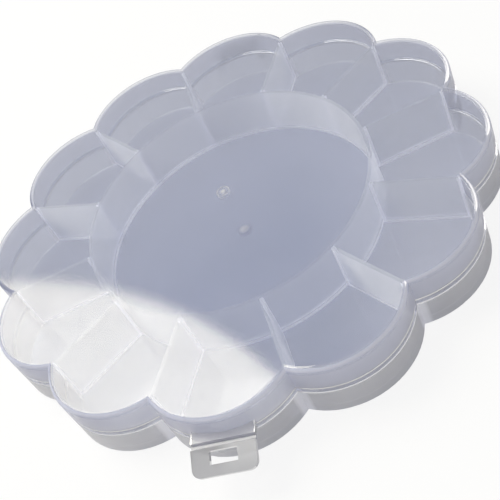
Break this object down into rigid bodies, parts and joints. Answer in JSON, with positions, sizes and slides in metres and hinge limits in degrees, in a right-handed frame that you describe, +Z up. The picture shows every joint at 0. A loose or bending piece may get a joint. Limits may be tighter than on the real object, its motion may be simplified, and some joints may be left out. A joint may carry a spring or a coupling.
{
  "type": "flower palette box",
  "caption": "Flat flower-shaped palette box in clear plastic: petal wells round a centre well under a hinged lid with a snap latch tab.",
  "frame": {"origin": "centre of the tray's flat underside, on the axis of the centre well", "axes": "+Z up through the lid, -Y towards the latch, +Y towards the hinge, +X to the right of the latch"},
  "size_m": [0.15, 0.1663, 0.0175],
  "materials": {
    "tray_plastic": "clear, slightly milky polypropylene",
    "lid_plastic": "clear, slightly milky polypropylene",
    "latch_plastic": "clear, slightly milky polypropylene"
  },
  "bodies": {
    "tray": {"tray_shell": "tray_plastic", "centre_ring": "tray_plastic", "divider_01": "tray_plastic", "divider_02": "tray_plastic", "divider_03": "tray_plastic", "divider_04": "tray_plastic", "divider_05": "tray_plastic", "divider_06": "tray_plastic", "divider_07": "tray_plastic", "divider_08": "tray_plastic", "divider_09": "tray_plastic", "divider_10": "tray_plastic", "divider_11": "tray_plastic", "divider_12": "tray_plastic", "latch_catch": "tray_plastic", "hinge_ear_left": "tray_plastic", "hinge_ear_right": "tray_plastic", "hinge_bar": "tray_plastic"},
    "lid": {"lid_shell": "lid_plastic", "latch_shelf": "lid_plastic", "latch_web": "lid_plastic", "hinge_clip": "lid_plastic"},
    "latch": {"latch_tab": "latch_plastic"}
  },
  "joints": [
    {"name": "lid_hinge", "type": "hinge", "parent": "tray", "child": "lid", "pos_m": [0, 0.079, 0.009], "axis": [-1, 0, 0], "range_deg": [0, 180]},
    {"name": "latch_fold", "type": "hinge", "parent": "lid", "child": "latch", "pos_m": [0, -0.0775, 0.01085], "axis": [1, 0, 0], "range_deg": [-60, 83], "stiffness_Nm_per_rad": 0.0005, "deforming": ["latch_web"]}
  ]
}
